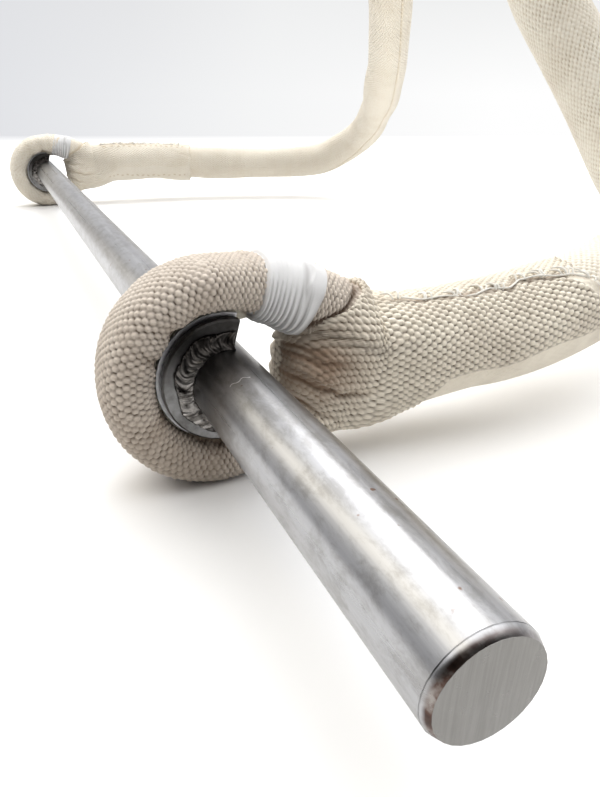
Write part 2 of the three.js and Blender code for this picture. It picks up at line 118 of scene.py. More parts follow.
def at_run(where, run, points):
    """Points of a line at the given distances, when run holds the distance of each of its own."""
    return np.stack([np.interp(where, run, points[:, k]) for k in range(3)], -1)


def directed(vectors):
    return vectors / np.linalg.norm(vectors, axis=-1, keepdims=True)


def rings(path, radius, turn, first, second):
    """Points round a path at each turn, counted from the first cross direction to the second."""
    spoke = np.cos(turn)[..., None] * first[:, None] + np.sin(turn)[..., None] * second[:, None]
    return path[:, None] + np.asarray(radius)[..., None] * spoke


def spline(points, spacing):
    """Centripetal Catmull-Rom curve through the points, resampled at even steps of about spacing."""
    p = np.asarray(points, float)
    p = np.vstack([2 * p[0] - p[1], p, 2 * p[-1] - p[-2]])
    q = [p[k:len(p) - 3 + k] for k in range(4)]
    d = [np.sqrt(np.linalg.norm(q[k + 1] - q[k], axis=1))[:, None] for k in range(3)]
    t1 = ((q[1] - q[0]) / d[0] - (q[2] - q[0]) / (d[0] + d[1]) + (q[2] - q[1]) / d[1]) * d[1]
    t2 = ((q[2] - q[1]) / d[1] - (q[3] - q[1]) / (d[1] + d[2]) + (q[3] - q[2]) / d[2]) * d[1]
    w = np.linspace(0, 1, 40, endpoint=False)[None, :, None]
    a, b, c = q[1][:, None], t1[:, None], (-3 * q[1] + 3 * q[2] - 2 * t1 - t2)[:, None]
    e = (2 * q[1] - 2 * q[2] + t1 + t2)[:, None]
    dense = (a + b * w + c * w ** 2 + e * w ** 3).reshape(-1, 3)
    dense = np.vstack([dense, q[2][-1]])
    run = arc_length(dense)
    return at_run(np.linspace(0, run[-1], max(int(run[-1] / spacing), 4) + 1), run, dense)


def in_plane(side, tilt, out, over):
    """Point of a rope's plane: out from the bar's axis and over it, turned about the bar by tilt."""
    y = out * math.cos(tilt) - over * math.sin(tilt) + BAR_Y
    z = out * math.sin(tilt) + over * math.cos(tilt) + BAR_Z
    return np.stack([np.full_like(y, side * ROPE_PLANE), y, z], -1)


def rope_line(side, route, tilt):
    """Middle line of cover and rope, from the cover's mouth to the top eye, every millimetre."""
    start = in_plane(side, tilt, *(np.array(MOUTH_SHARES) * GROOVE).T)
    rows = np.array(route)
    rest = np.stack([side * (ROPE_PLANE - rows[:, 0]), rows[:, 1] + BAR_Y, rows[:, 2] + BAR_Z], 1)
    return spline(np.vstack([start, rest]), .001)


def part_of(line, low, high, step):
    """Even points of a line between two distances along it."""
    run = arc_length(line)
    high = min(high, run[-1])
    at = np.linspace(low, high, max(int(round((high - low) / step)), 2) + 1)
    return at, at_run(at, run, line)


def steady_frames(path):
    """Two cross directions, across and over, that never spin about the path."""
    along = directed(np.gradient(path, axis=0))
    over = np.empty_like(path)
    first = np.array([0.0, 0.0, 1.0])
    over[0] = directed(first - along[0] * first.dot(along[0]))
    for k in range(1, len(path)):
        over[k] = directed(over[k - 1] - along[k] * over[k - 1].dot(along[k]))
    return np.cross(along, over), over


def nub_height(a, b, seed):
    """Canvas nubs: plump eggs on a staggered lattice, a counting cells along their length and b counting
    rows, two to a cell. Each is 0.73 of a cell long and two rows wide, a little off its place."""
    rng = np.random.default_rng(seed)
    size, move = rng.uniform(.88, 1.05, (61, 97)), rng.uniform(-.035, .035, (2, 61, 97))
    best = np.zeros(np.broadcast(a, b).shape)
    for shift in (0, 1):
        ca, cb = np.round(a + shift / 2), np.round((b + shift) / 2)
        key = ca.astype(int) % 61, (2 * cb.astype(int) + shift) % 97
        da, db = a + shift / 2 - ca + move[0][key], b + shift - 2 * cb + 2 * move[1][key]
        dome = 1 - (da / NUB_HALF_LENGTH) ** 2 - (db / NUB_HALF_WIDTH) ** 2
        best = np.maximum(best, clamp(dome) ** NUB_BLUNTNESS * size[key])
    return best


def corners(rows, cols, loop, wrap):
    """Point numbers of each face of a tube of points, rows along and columns round. loop joins the last
    row to the first, and wrap the last column to the first."""
    r, c = np.arange(rows if loop else rows - 1)[:, None], np.arange(cols if wrap else cols - 1)[None, :]
    r2, c2 = (r + 1) % rows, (c + 1) % cols
    return np.stack([r * cols + c, r * cols + c2, r2 * cols + c2, r2 * cols + c], -1).reshape(-1, 4)


def tube_faces(rows, cols, loop=False, caps=()):
    """Faces of a tube. caps lists faces of column numbers that close the first and last rows."""
    last = (rows - 1) * cols
    ends = [list(reversed(face)) for face in caps] + [[k + last for k in face] for face in caps]
    return corners(rows, cols, loop, True).tolist() + ends


def build(name, points, faces, material, values, uv=()):
    """Smooth piece with one material, values of its points by name and the UV of its first corners."""
    mesh = bpy.data.meshes.new(name)
    mesh.from_pydata(points.tolist(), [], faces)
    if len(uv):
        every = np.zeros((len(mesh.loops), 2))
        every[:len(uv)] = uv
        mesh.uv_layers.new(name="UVMap").data.foreach_set("uv", every.ravel())
    for key, data in values.items():
        attribute = mesh.attributes.new(key, "FLOAT", "POINT")
        attribute.data.foreach_set("value", np.asarray(data, float).ravel())
    mesh.polygons.foreach_set("use_smooth", [True] * len(mesh.polygons))
    mesh.materials.append(material)
    mesh.update()
    mesh.validate()
    piece = bpy.data.objects.new(name, mesh)
    bpy.context.collection.objects.link(piece)
    return piece


def surface(name, grid, material, values, uv=(), loop=False, caps=()):
    """Piece from a grid of points. uv has a row for each row of points and one column more."""
    rows, cols = grid.shape[:2]
    if len(uv):
        uv = uv.reshape(-1, 2)[corners(rows, cols + 1, loop, False)].reshape(-1, 2)
    return build(name, grid.reshape(-1, 3), tube_faces(rows, cols, loop, caps), material, values, uv)


def colour(value):
    """A grey or a colour, with its alpha."""
    return (*value, 1) if isinstance(value, tuple) else (value, value, value, 1)


class Nodes:
    """Node tree with short ways to add to it. Each input takes a socket to join or a value to hold."""

    def __init__(self, tree):
        self.tree = tree

    def feed(self, node, inputs):
        for key, value in inputs.items():
            if isinstance(value, bpy.types.NodeSocket):
                self.tree.links.new(value, node.inputs[key])
            elif value is not None:
                node.inputs[key].default_value = value

    def add(self, kind, inputs=None, **settings):
        node = self.tree.nodes.new(kind)
        for key, value in settings.items():
            setattr(node, key, value)
        self.feed(node, inputs or {})
        return node

    def place(self, output="Object"):
        return self.add("ShaderNodeTexCoord").outputs[output]

    def split(self, vector):
        node = self.add("ShaderNodeSeparateXYZ", {"Vector": vector})
        return [node.outputs[k] for k in "XYZ"]

    def attribute(self, name):
        return self.add("ShaderNodeAttribute", attribute_name=name).outputs["Fac"]

    def noise(self, scale, detail, roughness=.5, distortion=0.0, stretch=None, spin=0.0, output="Object"):
        """Noise at object or UV coordinates, stretched, and spun about the X axis."""
        where = self.place(output)
        if stretch:
            mapping = {"Vector": where, "Rotation": (spin, 0, 0), "Scale": stretch}
            where = self.add("ShaderNodeMapping", mapping).outputs["Vector"]
        return self.add("ShaderNodeTexNoise", {
            "Vector": where, "Scale": scale, "Detail": detail, "Roughness": roughness,
            "Distortion": distortion}).outputs["Fac"]

    def ramp(self, factor, *stops):
        """Colour ramp through (place, colour or grey) stops."""
        node = self.add("ShaderNodeValToRGB", {"Fac": factor})
        while len(node.color_ramp.elements) < len(stops):
            node.color_ramp.elements.new(.5)
        for element, (at, value) in zip(node.color_ramp.elements, stops):
            element.position = at
            element.color = colour(value)
        return node.outputs["Color"]

    def maths(self, operation, *values):
        return self.add("ShaderNodeMath", dict(enumerate(values)), operation=operation).outputs["Value"]

    def scaled(self, value, factor, more):
        return self.maths("MULTIPLY_ADD", value, factor, more)

    def times(self, a, b):
        return self.maths("MULTIPLY", a, b)

    def remap(self, value, low=0.0, high=1.0, to_low=0.0, to_high=1.0):
        limits = {"From Min": low, "From Max": high, "To Min": to_low, "To Max": to_high}
        return self.add("ShaderNodeMapRange", {"Value": value, **limits}).outputs["Result"]

    def mix(self, factor, a, b, kind="RGBA", blend="MIX"):
        a, b = [colour(v) if kind == "RGBA" and isinstance(v, tuple) else v for v in (a, b)]
        inputs = {"Factor": factor, "A": a, "B": b}
        return self.add("ShaderNodeMix", inputs, data_type=kind, blend_type=blend).outputs["Result"]

    def bump(self, height, strength, distance, normal=None):
        inputs = {"Height": height, "Strength": strength, "Distance": distance, "Normal": normal}
        return self.add("ShaderNodeBump", inputs).outputs["Normal"]


def start_material(name, base, roughness, metallic=0.0):
    """Material with a Principled shader, its nodes and that shader."""
    material = bpy.data.materials.new(name)
    material.use_nodes = True
    nodes = Nodes(material.node_tree)
    shader = material.node_tree.nodes["Principled BSDF"]
    nodes.feed(shader, {"Base Color": colour(base), "Roughness": roughness, "Metallic": metallic})
    return material, nodes, shader


def canvas_material(name, light, deep, dirt_and_shade, weave_bump):
    """Nubby cotton: pale nub tops, pits painted dark as shade from the height attribute, cloudy soiling, painted
    shade and dirt from a second attribute, thread bump.
    """
    material, nodes, shader = start_material(name, light, .92)
    half_deep = tuple(.55 * a + .45 * b for a, b in zip(light, deep))
    # Pits between the nubs are painted dark as shade, by the height in the nub attribute.
    tone = nodes.ramp(nodes.attribute("nub"), (.12, deep), (.42, half_deep), (.82, light))
    patch = nodes.ramp(nodes.noise(38.0, 4.0, .6), (.42, 0.0), (.68, 1.0))
    # Painted shade and dirt from the second attribute, with cloudy dirt from noise.
    dirt_and_shade_amount = nodes.scaled(patch, .22, nodes.attribute("dirt_and_shade"))
    length, row, _ = nodes.split(nodes.place("UV"))
    cells = nodes.times(nodes.maths("COSINE", nodes.times(length, TURN)),
                        nodes.maths("COSINE", nodes.times(row, math.pi)))
    relief = nodes.scaled(cells, weave_bump, nodes.noise(900.0, 3.0))
    nodes.feed(shader, {
        "Base Color": nodes.mix(dirt_and_shade_amount, tone, dirt_and_shade), "Normal": nodes.bump(relief, .5, .0006),
        "Sheen Weight": .25, "Sheen Roughness": .5, "Specular IOR Level": .2})
    return material


# Canvas colours: nub tops, the painted shade in the pits, and painted shade with dirt.
rope_canvas = canvas_material("rope_canvas", (.95, .905, .805), (.60, .50, .37), (.60, .50, .38), .35)
far_canvas = canvas_material("far_rope_canvas", (.91, .855, .755), (.80, .71, .57), (.66, .56, .42), .9)


def rope_sleeve(name, line, seed, columns, step, nub_depth, material, seam):
    """Stuffed canvas tube: round section along the line, swollen and sagging a little by slow waves,
    with staggered nubs and one felled seam that runs its length."""
    rng = np.random.default_rng(seed)
    at, path = part_of(line, SLEEVE_START, 9, step)
    across, over = steady_frames(path)
    turn = full_turn(columns)
    s = (at - at[0])[:, None]
    radius = np.full((len(at), columns), SLEEVE_RADIUS)
    for _ in range(9):
        rate, phase, about = rng.uniform(12, 75), rng.uniform(0, 6.28), rng.integers(0, 4)
        radius += .00034 * np.sin(rate * s + about * turn + phase)
    from_seam = np.angle(np.exp(1j * (turn - np.radians(table(at, seam))[:, None]))) * .019
    holes = bell(from_seam, .0007) * clamp(np.cos(TURN * s / STITCH) * 2)
    radius += .0006 * (bell(from_seam - .004, .0035, 4) - bell(from_seam, .0008) - holes)
    plain = 1 - .9 * bell(from_seam - .0042, .0046, 6)
    rows_round = 2 * round(TURN * OVER_NUBS / NUB_ROW / 2)
    a, b = s / NUB_LENGTH, turn / TURN * rows_round
    nub = nub_height(a, b, seed)
    grid = rings(path, radius + nub_depth * nub * plain, turn, over, across)
    uv = np.stack(np.broadcast_arrays(a, np.r_[b[0], rows_round][None]), -1)
    # The seam's groove and its stitch holes are painted darker: painted shade and dirt in the recesses.
    piece = surface(name, grid, material, uv=uv, caps=[range(columns)], values={
        "nub": .1 + .9 * np.maximum(nub * plain, .7 * (1 - plain)),
        "dirt_and_shade": .25 * bell(from_seam, .0008) + .6 * holes})
    return piece, path


near_line = rope_line(1, NEAR_ROUTE, NEAR_TILT)
far_line = rope_line(-1, FAR_ROUTE, FAR_TILT)
near_sleeve, near_path = rope_sleeve(
    "near_rope_sleeve", near_line, 5, 244, .00102, .00085, rope_canvas, NEAR_SEAM)
far_sleeve, far_path = rope_sleeve(
    "far_rope_sleeve", far_line, 8, 208, .0015, .00045, far_canvas, FAR_SEAM)


# Top eyes: each rope ends above the view in an eye of three-strand rope round a pressed thimble.
# Waxed twine is whipped round both legs of the eye, close to the thimble's point.
ROPE_RADIUS = .0064
LAY_PITCH = .034
TOP_RING = .02285
TOP_CENTRE = .06885
LEG_APART = .0067
WHIPPING_LOW, WHIPPING_LONG, TWINE_PITCH = .006, .016, .0016


def yarn_material(name, light, deep, full=.6, roughness=.9, fine=(1.0, 3.0), stretch=(.25, 2.2, 1),
                  relief=(.6, .0007)):
    """Laid or knitted cotton: grooves between strands or turns painted dark as shade from the nub attribute, and
    fine yarns along them.
    """
    material, nodes, shader = start_material(name, light, roughness)
    yarn = nodes.noise(*fine, stretch=stretch, output="UV")
    nodes.feed(shader, {"Base Color": nodes.ramp(nodes.attribute("nub"), (0.0, deep), (full, light)),
                        "Normal": nodes.bump(yarn, *relief), "Sheen Weight": .2})
    return material


core_rope = yarn_material("core_rope", (.76, .71, .60), (.36, .30, .22))
twine = yarn_material("whipping_twine", (.86, .84, .79), (.45, .42, .36))


def laid_rope(name, path, columns=42):
    """Three-strand rope: a three-lobed section along the path that turns once in each lay pitch."""
    across, over = steady_frames(path)
    run, turn = arc_length(path)[:, None], full_turn(columns)
    strand = np.abs(np.cos(1.5 * (turn - TURN * run / LAY_PITCH)))
    grid = rings(path, ROPE_RADIUS * .99 * (.76 + .24 * strand ** .6), turn, over, across)
    uv = np.stack(np.broadcast_arrays(run / .001, np.linspace(0, columns, columns + 1)[None] / 4), -1)
    # The nub attribute paints shade into the grooves between the strands.
    return surface(name, grid, core_rope, {"nub": strand ** .5}, uv, caps=[range(columns)])


def top_fittings(name, line):
    """Eye: two straight legs that part round a ring of TOP_RING radius. Whipping: an oblong band."""
    top, spread = line[-1], math.radians(60)
    start = (TOP_RING * math.sin(spread), TOP_CENTRE - TOP_RING * math.cos(spread))
    run = (start[0] - LEG_APART) / math.tan(math.pi / 2 - spread)
    leg = [(LEG_APART, .0006), (LEG_APART, (start[1] - run) / 2), (LEG_APART * 1.08, start[1] - run),
           ((LEG_APART + start[0]) / 2, start[1] - run / 2)]
    angle = np.linspace(spread, TURN - spread, 13)
    ring = np.stack([TOP_RING * np.sin(angle), TOP_CENTRE - TOP_RING * np.cos(angle)], 1)
    flat = np.vstack([leg, ring, [(-a, b) for a, b in reversed(leg)]])
    points = top + np.stack([0 * flat[:, 0], flat[:, 0], flat[:, 1]], 1)
    eye = laid_rope(f"{name}_top_eye_rope", spline(points, .0012))
    turn, rise = full_turn(96), np.linspace(0, WHIPPING_LONG, 90)[:, None]
    wound = np.sqrt(np.abs(np.sin(math.pi * (rise / TWINE_PITCH - turn / TURN))))
    ends, legs = ((1, 1), (0, 0)), ROPE_RADIUS + .0003
    reach = np.pad(legs + (.00115 + .00055 * wound), ends, constant_values=legs)
    level = np.pad(rise, ends, mode="edge") + WHIPPING_LOW
    apart = (LEG_APART + .0003) * np.sign(np.sin(turn + .001))
    grid = np.stack([top[0] + reach * np.sin(turn + math.pi / 2), top[1] + apart + reach * np.sin(turn),
                     top[2] + level + 0 * turn], -1)
    uv = np.stack(np.broadcast_arrays(level / .001, np.linspace(0, 24, 97)[None]), -1)
    # The nub attribute paints shade between the turns of twine.
    band = surface(f"{name}_top_whipping_twine", grid, twine, {"nub": np.pad(wound, ends)}, uv, loop=True)
    return eye, band


for name, line, path, sleeve in (("near", near_line, near_path, near_sleeve),
                                 ("far", far_line, far_path, far_sleeve)):
    eye, band = top_fittings(name, line)
    body = f"{name}_rope_set"
    for piece, node, slot in ((sleeve, "rope", "rope_cotton"), (eye, "top_eye", "core_rope"),
                              (band, "top_whipping", "tape_white")):
        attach(piece, body)
        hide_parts(f"{name}_{node}")


# Covers: a wide canvas sleeve is folded over each splice. Its long edges are lapped and laced with white
# twine, and its mouth is gathered between the legs of the eye, below the rolled lip that holds the taped leg.
COVER_RADIUS = .022
COVER_WALL = .0036
NOSE, NOSE_RUN, NOSE_WIDE = -.0025, .014, .0014
TUBE_FROM, REACH = .054, .17
LIP_THICK = .0019
MOUTH_HEIGHTS = (.0380, .0350, .0308, .0258)
MOUTH_WIDE = .0166
UPPER_CUT = ((.020, .0100), (.028, .0116), (.038, .0142), (.0455, .0172), (.050, .0207),
             (.0575, .0240), (.0775, .0343))
LOWER_CUT = ((.015, -.0008), (.025, -.0125), (.046, -.037), (.06, -.0534))
LIP_ROLL = ((.040, LIP_THICK), (.050, .0008))
LIP_WIDE = ((.020, .0008), (.026, .0022), (.031, .0064), (.036, .0108), (.046, .0140), (.056, .0142))
NEAR_LAP = ((-.01, 10), (.045, 12), (.054, 16), (.066, 20), (.078, 23), (.086, 19), (.094, 23),
            (.102, 14), (.114, 20), (.126, 28), (.132, 38), (.138, 58), (.144, 72), (.17, 80))
FAR_LAP = ((0, 18), (1, 18))
LACE_RADIUS = .00038
RIDGE_HIGH, RIDGE_OFF, RIDGE_WIDE = .0012, .0034, .0022
CREASE_DEEP, CREASE_WIDE = .0014, .0015
END_STATIONS = ((-180, .160), (-60, .150), (0, .137), (18, .134), (27, .1285), (34, .1300), (58, .138),
                (80, .147), (110, .158), (140, .163), (180, .160))
FAR_END = .158
STRIP_WIDTHS = ((.01, .009), (.040, .012), (.050, .018), (.060, .0285), (.075, .0315), (.13, .0325))
CELL_LENGTHS = ((0, .0050), (.02, .0050), (.05, .0042), (.09, .0041), (.125, .0051))
CREASES = (((.021, .0086), (.026, .0070), (.031, .0063), (.043, .0060)),
           ((.022, .0056), (.0285, .0036), (.034, .0026), (.047, .0004)),
           ((.021, -.0020), (.028, -.0040), (.033, -.0059), (.044, -.0112), (.060, -.0116)),
           ((.022, -.0090), (.028, -.0125), (.036, -.0180), (.046, -.0225)))


def smoothed(values, width, mode="edge"):
    """Running mean under a Hann window, over an odd number of values."""
    window = np.hanning(width)
    return np.convolve(np.pad(values, width // 2, mode=mode), window / window.sum(), "valid")


def from_bar(points, tilt):
    """Distance out from the bar and over it, in the plane of the rope."""
    y, z = points[..., 1] - BAR_Y, points[..., 2] - BAR_Z
    return y * math.cos(tilt) + z * math.sin(tilt), z * math.cos(tilt) - y * math.sin(tilt)


def stadium(u, high, wide):
    """Upright oblong with round ends, by share u of its girth from the top down the near side (u > 0) or
    the far side. Returns across, over, their outward directions and the length along the outline."""
    quarter = math.pi / 2 * wide
    wall = quarter + 2 * (high - wide)
    q = u * 2 * (wall + quarter)
    away = np.abs(q)
    turn = np.where(away < wall, np.minimum(away / wide, math.pi / 2), math.pi / 2 + (away - wall) / wide)
    side = np.sign(q + 1e-12)
    drop = np.clip(away - quarter, 0, 2 * (high - wide))
    over = high - wide - drop + wide * np.cos(turn)
    return side * wide * np.sin(turn), over, side * np.sin(turn), np.cos(turn), q


def cover_shell(name, side, tilt, line, seed, columns, rows, nub_depth, material):
    """Canvas cover. Its section is an upright oblong whose width grows as a quarter ellipse from the gathered
    nose and whose height falls until it is a tube. UPPER_CUT and LOWER_CUT bound its mouth, whose rolled lip
    leans in to LIP_WIDE, CREASES run out from the nose, and the lapped edge follows NEAR_LAP or FAR_LAP."""
    rng = np.random.default_rng(seed)
    stops = arc_length(np.array(MOUTH_SHARES[:4]) * GROOVE)
    even = np.linspace(NOSE, REACH, 500)
    heights = np.interp(even, np.r_[stops, (stops[-1] + TUBE_FROM) / 2, TUBE_FROM],
                        np.r_[MOUTH_HEIGHTS, (MOUTH_HEIGHTS[3] + COVER_RADIUS) / 2, COVER_RADIUS])
    widths = np.interp(even, [stops[-1], TUBE_FROM], [MOUTH_WIDE, COVER_RADIUS])
    fine = NOSE + (REACH - NOSE) * np.linspace(0, 1, 900) ** 2
    heights, widths = [np.interp(fine, even, smoothed(v, 41)) for v in (heights, widths)]
    widths = NOSE_WIDE + (widths - NOSE_WIDE) * np.sqrt(1 - (1 - clamp((fine - NOSE) / NOSE_RUN)) ** 2)
    girdle = np.r_[0, np.cumsum(np.hypot(np.diff(fine), np.diff(widths)))]
    run, tangent = arc_length(line), np.gradient(line, axis=0)
    u = (np.arange(columns) + .5) / columns - .5

    def place(station, extra, inside=0.0, u_=u):
        """Point for each station and share of the girth, extra metres outside the smooth shell."""
        t = directed(at_run(station, run, tangent))
        p = at_run(station, run, line) + np.minimum(station, 0)[..., None] * t
        across = directed(np.cross(t, [0.0, 0.0, 1.0]))
        over = np.cross(across, t)
        high, wide = np.interp(station, fine, heights), np.interp(station, fine, widths)
        wide = np.maximum(wide - inside, .0005)
        x, z, nx, nz, q = stadium(u_, np.maximum(high - inside, wide), wide)
        out, level = from_bar(p + z[..., None] * over, tilt)
        below = clamp(table(out, UPPER_CUT) - level)
        narrow = clamp(table(out, LIP_WIDE) / np.maximum(wide, 1e-4))
        lean = 1 - (1 - narrow) * bell(below, .0085) * clamp((.064 - out) / .008)
        return p + (x * lean + nx * extra)[..., None] * across + (z + nz * extra)[..., None] * over, q

    def cut(station):
        """Whether the mouth's two cuts take the point away."""
        out, over = from_bar(place(station, 0.0)[0], tilt)
        return (over > table(out, UPPER_CUT)) | (over < table(out, LOWER_CUT))

    low, high = np.full(columns, NOSE), np.full(columns, .05)
    open_ = cut(low)
    for _ in range(24):
        half = (low + high) / 2
        away = cut(half)
        low, high = np.where(away, half, low), np.where(away, high, half)
    lip = smoothed(np.where(open_, low, NOSE), columns // 40 * 2 + 3, "wrap")
    turns = u * 360
    last = table(turns, END_STATIONS) if side > 0 else np.full(columns, FAR_END)
    last = last + .0006 * np.sin(turns * .11) + .0004 * np.sin(turns * .31)
    first_girdle, last_girdle = np.interp(lip, fine, girdle)[None], np.interp(last, fine, girdle)[None]
    share = np.linspace(0, 1, rows)[:, None]
    station = np.interp(first_girdle + share * (last_girdle - first_girdle), girdle, fine)
    skin, q = place(station, 0.0)
    out, over = from_bar(skin, tilt)
    to_end = last[None] - station

    folds, shade = np.zeros_like(station), np.zeros_like(station)
    for crease in CREASES:
        off = over - table(out, crease) - .0004 * np.sin(out * 700)
        fading = clamp((crease[-1][0] - out) / .013) * clamp((out - .0222) / .004)
        ridges = RIDGE_HIGH * bell(np.abs(off) - RIDGE_OFF, RIDGE_WIDE)
        folds += fading * (ridges - CREASE_DEEP * bell(off, CREASE_WIDE))
        shade += .5 * fading * bell(off, .0009)
    for _ in range(9):
        centre, spread = rng.uniform(-70, 140), rng.uniform(5, 10)
        where = bell(turns[None] - centre + 900 * to_end, spread)
        folds -= .0009 * where * np.exp(-to_end / rng.uniform(.008, .02))
    for _ in range(8):
        rate, about, phase = rng.uniform(20, 90), rng.integers(1, 5), rng.uniform(0, 6.28)
        folds += .0004 * np.sin(rate * station + about * TURN * u[None] + phase)

    lap_turn = table(station, NEAR_LAP if side > 0 else FAR_LAP)
    from_lap = q - np.radians(lap_turn) * COVER_RADIUS - .0005 * np.sin(station * 610)
    lapped = clamp((station - .035) / .015)
    folds += lapped * .0012 / (1 + np.exp(-from_lap / .0003)) * np.exp(-clamp(from_lap) / .010)
    girth = np.abs(q[:, :1]) + np.abs(q[:, :1] - q[:, 1:2]) / 2
    band = table(station, STRIP_WIDTHS) + .0012 * np.sin(station * 130)
    strip = clamp((np.abs(q) - girth + band) / .0022) * (from_lap > 0)
    strip = np.maximum(strip, clamp((.006 - to_end) / .002) * (turns[None] > 20))
    cells = np.interp(station, fine, np.cumsum(np.gradient(girdle) / table(fine, CELL_LENGTHS)))
    nub = nub_height(cells, q / NUB_ROW, seed) * (1 - .93 * strip)
    # Nubs flatten on the fold beside the lapped edge, and there the canvas takes the pit shade as a painted dark
    # line.
    nub *= 1 - .75 * bell(from_lap - .0012, .0013, 4) * lapped
    lift = np.maximum(folds, .0012 - np.interp(station, fine, widths))
    skin = place(station, lift + nub_depth * nub * (1 + .3 * bell(out - .02, .025)))[0]
    skin[..., 2] = np.maximum(skin[..., 2], FLOOR_GAP)

    turn_in = np.radians([15, 30, 45, 60, 75, 90, 105, 120, 140, 160])[:, None]
    roll_nub = nub_height(cells[:1] - turn_in * LIP_THICK / .0058, q[:1] / NUB_ROW, seed)
    thick = np.minimum(table(out[0], LIP_ROLL), .5 * np.interp(lip, fine, widths))[None]
    roll = thick + nub_depth * roll_nub * thick / LIP_THICK
    rolled = place(lip[None] - roll * np.sin(turn_in),
                   folds[0] * (1 + np.cos(turn_in)) / 2 - thick + roll * np.cos(turn_in))[0]
    back = (np.array([1, .996, .9, .75, .6, .45, .3, .15, .05, 0.0]) * (rows - 1)).astype(int)
    inner = place(station[back], folds[back] * .8, COVER_WALL)[0]

    # Painted shade line just under the step of the lapped edge.
    edge = lapped * bell(from_lap + .0006, .0008)
    from_nose = np.hypot(out - .021, over + .001)
    # Painted shade in the creases and beside the lapped edge, darker canvas next to the rolled lip, dirt towards
    # the nose.
    dirt_and_shade = np.clip(.7 * shade + .8 * edge + .12 * np.exp(-(station - lip[None]) / .006)
                   + .2 * np.exp(-clamp(from_nose) / .02), 0, .9)
    # Painted shade line along the fold at the cover's end.
    dirt_and_shade += .4 * bell(to_end, .0012)
    if side > 0:
        # Painted shade with some dirt on a patch of the near side, out from the nose at the bar's level.
        dirt_and_shade += .82 * np.exp(-((out - .036) / .016) ** 2 - ((over + .001) / .014) ** 2) * (q > 0)
    else:
        # Far cover: two rows of dark dots, painted shadows of the stitching.
        for stitch_shadow_turn in (30, 135):
            row = q - np.radians(stitch_shadow_turn) * COVER_RADIUS - .0008 * np.sin(station * 500)
            stitch_shadow_dots = clamp(3 * np.cos(station * 900 + stitch_shadow_turn)) * ((station > .045) & (station < .15))
            dirt_and_shade += .9 * bell(row, .0011) * stitch_shadow_dots
    grid = np.vstack([skin, inner, rolled[::-1]])
    # The inside rows are painted dark as shade; the rolled lip keeps light tones.
    dirt_and_shade = np.vstack([dirt_and_shade, np.full_like(inner[..., 0], .6), np.full_like(rolled[..., 0], .12)])
    nub = np.vstack([.12 + .88 * np.maximum(nub, .9 * strip), np.full_like(inner[..., 0], .2),
                     .12 + .88 * roll_nub[::-1]])
    uv = np.stack([np.c_[cells, cells[:, :1]], np.c_[q, -q[:, :1]] / NUB_ROW], -1)
    uv = np.pad(uv, ((0, len(grid) - rows), (0, 0), (0, 0)), mode="edge")
    return surface(name, grid, material, {"nub": nub, "dirt_and_shade": dirt_and_shade}, uv, loop=True), place


def lacing(name, side, place, seed, starts):
    """White twine: clusters of short loops over the lapped edge, each an arc lifted off the canvas, and one
    long run below them."""
    rng = np.random.default_rng(seed)
    w = np.linspace(0, 1, 12)
    paths = []

    def laid(station, extra, beside):
        """Twine on the cover, at these stations and this far round from the lapped edge."""
        q = np.radians(table(station, NEAR_LAP if side > 0 else FAR_LAP)) * COVER_RADIUS + beside
        paths.append(place(station, extra, 0.0, q / (TURN * COVER_RADIUS))[0])

    for start in starts:
        for _ in range(rng.integers(3, 6)):
            first = start + rng.uniform(-.0028, .0028)
            station = first + rng.uniform(-.003, .003) * w + .0006 * np.sin(math.pi * w)
            q0, q1 = rng.uniform(.0002, .0012), rng.uniform(-.0055, -.0022)
            laid(station, .0008 + rng.uniform(.0008, .0016) * np.sin(math.pi * w), q0 + (q1 - q0) * w)
    station = np.arange(.047, .137, .0012)
    laid(station, .0015 + .0002 * np.sin(station * 410), .0004 + .0004 * np.sin(station * 270))
    points, faces, sides = [], [], 7
    for path in paths:
        base = sum(map(len, points))
        across, over = steady_frames(path)
        points.append(rings(path, LACE_RADIUS, full_turn(sides), over, across).reshape(-1, 3))
        faces += [[base + k for k in face] for face in tube_faces(len(path), sides, caps=[range(sides)])]
    points = np.vstack(points)
    return build(name, points, faces, twine, {"nub": np.ones(len(points))})


cover_canvas = canvas_material("cover_canvas", (.97, .90, .775), (.13, .09, .058), (.29, .205, .145), .3)
for name, side, tilt, line, seed, columns, rows, depth, material, starts in (
        ("near", 1, NEAR_TILT, near_line, 11, 370, 235, .0013, cover_canvas,
         (.046, .058, .072, .083, .091, .103, .114, .124, .133)),
        ("far", -1, FAR_TILT, far_line, 12, 240, 160, .0004, far_canvas, tuple(np.arange(.05, .15, .0085)))):
    cover, on_cover = cover_shell(f"{name}_cover_canvas", side, tilt, line, seed, columns, rows, depth, material)
    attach(cover, f"{name}_rope_set")
    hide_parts(f"{name}_cover")
    laces = lacing(f"{name}_cover_lacing", side, on_cover, seed, starts)
    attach(laces, f"{name}_rope_set")


# Eyes: the rope's padded sleeve goes on round the thimble, so canvas bulges past the discs on both sides.
# It is wider and thicker round the bar, and puckered where it is drawn in over the thimble's flanges.
FLANGE_CLEAR = .02365
BORE = .0074
EYE_CELL, EYE_ROW = .0039, .00090
EYE_TABLE = np.array([        # place along the heart, half width, outer and inner reach, half slit, roundness
    (0, .0102, .0102, -.0102, .0005, 2), (1, .0119, .0119, -.0119, .0005, 2),
    (2, .0119, .01425, -.0119, .0005, 2), (3, .01345, .0166, -.00607, .004, 2.3),
    (4, .0150, .0166, -.00025, .0074, 2.6), (15, .0150, .0166, -.00025, .0074, 2.6),
    (16, .01345, .01425, -.00785, .0037, 2.2), (17, .0119, .0119, -.0119, .0005, 2),
    (18, .0119, .0119, -.0119, .0005, 2), (19, .0102, .0102, -.0102, .0005, 2),
])
TAPE_START = 1.8
TAPE_LENGTH = .0205
TAPE_SLANT = .0048
